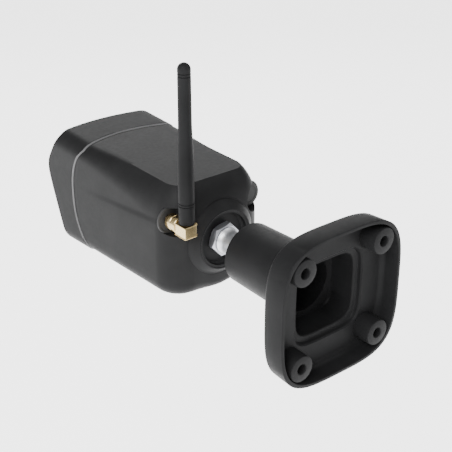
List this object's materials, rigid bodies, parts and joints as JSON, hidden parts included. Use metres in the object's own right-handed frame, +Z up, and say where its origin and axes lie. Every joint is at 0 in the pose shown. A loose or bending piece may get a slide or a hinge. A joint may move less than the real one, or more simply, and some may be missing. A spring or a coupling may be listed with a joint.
{
  "type": "security camera",
  "caption": "Outdoor bullet security camera with a hooded front, a swivelling rod antenna and a hollow ball-joint wall bracket.",
  "frame": {"origin": "centre of the bracket base's wall face", "axes": "+Y into the wall, the lens looks along -Y, +Z up, the antenna stands on the +X side"},
  "size_m": [0.0882, 0.2435, 0.1606],
  "materials": {
    "powder_coat": "satin",
    "housing_plastic": "satin",
    "antenna_plastic": "satin",
    "black_plastic": "matte",
    "seal_rubber": "matte",
    "cable_jacket": "satin",
    "bright_zinc": "polished",
    "gold_plate": "polished",
    "screw_steel": "satin",
    "tinned_steel": "satin",
    "aluminium": "satin",
    "circuit_board": "satin",
    "chip_package": "matte",
    "smoked_window": "polished",
    "lens_glass": "polished",
    "white_plastic": "satin",
    "thermal_rubber": "matte",
    "lamp_epoxy": "gloss"
  },
  "bodies": {
    "bracket": {"bracket_casting": "powder_coat", "clamp_ring": "housing_plastic"},
    "ball_seat": {"ball_seat": "white_plastic"},
    "ball_stud": {"ball_stud": "bright_zinc", "lock_nut": "bright_zinc"},
    "camera": {"rear_housing": "housing_plastic", "front_bezel": "housing_plastic", "service_hatch": "housing_plastic", "lens_barrel": "black_plastic", "lens_holder": "black_plastic", "ir_cut_housing": "black_plastic", "speaker": "black_plastic", "housing_seal": "seal_rubber", "port_washer": "seal_rubber", "port_plug": "seal_rubber", "hatch_seal": "seal_rubber", "coax_pigtail": "cable_jacket", "antenna_jack": "gold_plate", "jack_nut": "gold_plate", "board_standoff_1": "gold_plate", "board_standoff_2": "gold_plate", "board_standoff_3": "gold_plate", "board_standoff_4": "gold_plate", "bezel_screw_1": "screw_steel", "bezel_screw_2": "screw_steel", "bezel_screw_3": "screw_steel", "bezel_screw_4": "screw_steel", "chassis_screw_a": "screw_steel", "chassis_screw_b": "screw_steel", "hatch_screw_a": "screw_steel", "hatch_screw_b": "screw_steel", "microphone": "tinned_steel", "microsd_socket": "tinned_steel", "wifi_module": "tinned_steel", "chassis_plate": "aluminium", "heat_sink": "aluminium", "main_board": "circuit_board", "sensor_board": "circuit_board", "led_board": "circuit_board", "service_board": "circuit_board", "processor": "chip_package", "image_sensor": "chip_package", "light_sensor": "chip_package", "reset_switch": "chip_package", "front_window": "smoked_window", "lens_front_element": "lens_glass", "lens_rear_element": "lens_glass", "thermal_pad": "thermal_rubber", "ir_led_1": "lamp_epoxy", "ir_led_2": "lamp_epoxy", "ir_led_3": "lamp_epoxy", "ir_led_4": "lamp_epoxy"},
    "antenna": {"antenna_elbow": "gold_plate", "antenna_sleeve": "antenna_plastic", "antenna_element": "screw_steel"},
    "coupling_nut": {"antenna_coupling_nut": "gold_plate"},
    "ir_cut_filter": {"ir_cut_filter": "lens_glass"},
    "reset_button": {"reset_button": "white_plastic"},
    "microsd_card": {"microsd_card": "chip_package"}
  },
  "joints": [
    {"name": "mount_spin", "type": "hinge", "parent": "bracket", "child": "ball_seat", "pos_m": [0, -0.072, 0], "axis": [0, 1, 0], "range_deg": [-180, 180]},
    {"name": "mount_tilt", "type": "hinge", "parent": "ball_seat", "child": "ball_stud", "pos_m": [0, -0.072, 0], "axis": [1, 0, 0], "range_deg": [-30, 30]},
    {"name": "camera_roll", "type": "hinge", "parent": "ball_stud", "child": "camera", "pos_m": [0, -0.072, 0], "axis": [0, 1, 0], "range_deg": [-180, 180]},
    {"name": "antenna_swing", "type": "hinge", "parent": "camera", "child": "antenna", "pos_m": [0.03, -0.0988, 0.0165], "axis": [0, 1, 0], "range_deg": [-65, 180]},
    {"name": "coupling_nut_spin", "type": "hinge", "parent": "camera", "child": "coupling_nut", "pos_m": [0.03, -0.0988, 0.0165], "axis": [0, 1, 0], "continuous": true},
    {"name": "ir_cut_shift", "type": "slide", "parent": "camera", "child": "ir_cut_filter", "axis": [1, 0, 0], "range_m": [0, 0.0065]},
    {"name": "reset_press", "type": "slide", "parent": "camera", "child": "reset_button", "axis": [0, 0, 1], "range_m": [0, 0.0003], "stiffness_N_per_m": 800, "springref_m": -0.001},
    {"name": "card_slide", "type": "slide", "parent": "camera", "child": "microsd_card", "axis": [1, 0, 0], "range_m": [-0.003, 0.0008]}
  ]
}
